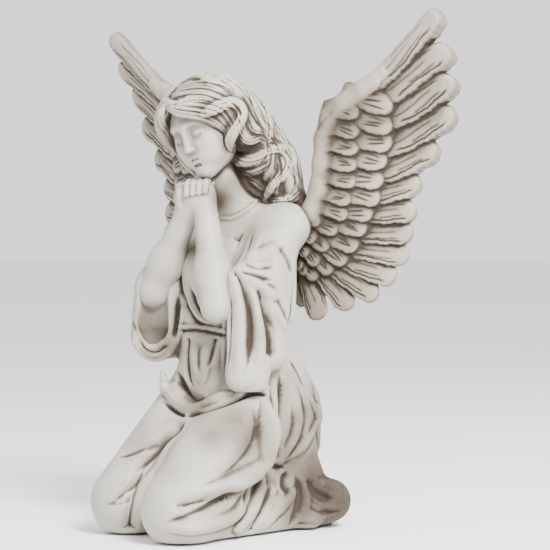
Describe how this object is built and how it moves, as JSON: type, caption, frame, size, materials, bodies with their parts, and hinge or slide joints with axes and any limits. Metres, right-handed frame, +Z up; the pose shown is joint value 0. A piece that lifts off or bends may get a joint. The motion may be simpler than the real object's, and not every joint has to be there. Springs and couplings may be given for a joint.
{
  "type": "kneeling angel figurine",
  "caption": "Kneeling, praying angel figurine with raised feathered wings, cast in antiqued resin, that stands on a shelf as an ornament.",
  "frame": {"origin": "on the shelf surface, under the middle of the figurine's box", "axes": "+Z up, -Y the way the angel faces, +X towards her left side"},
  "size_m": [0.2818, 0.1554, 0.3017],
  "materials": {
    "antiqued_resin": "matt off-white resin with a brown wash in the folds",
    "washed_resin": "matt off-white resin with a heavier brown wash between the feathers",
    "dowel_steel": "plain drawn rod",
    "cover_plastic": "matt grey-beige",
    "plug_rubber": "black rubber",
    "pad_felt": "dark green felt"
  },
  "bodies": {
    "root": {"body_casting": "antiqued_resin", "head_casting": "antiqued_resin", "left_arm_casting": "antiqued_resin", "right_arm_casting": "antiqued_resin", "clasped_hands_casting": "antiqued_resin", "left_wing_casting": "washed_resin", "right_wing_casting": "washed_resin", "neck_dowel": "dowel_steel", "left_arm_dowel": "dowel_steel", "right_arm_dowel": "dowel_steel", "left_wrist_dowel": "dowel_steel", "right_wrist_dowel": "dowel_steel", "left_wing_dowels": "dowel_steel", "right_wing_dowels": "dowel_steel", "base_cover": "cover_plastic", "base_plug": "plug_rubber", "felt_pads": "pad_felt"}
  },
  "joints": []
}
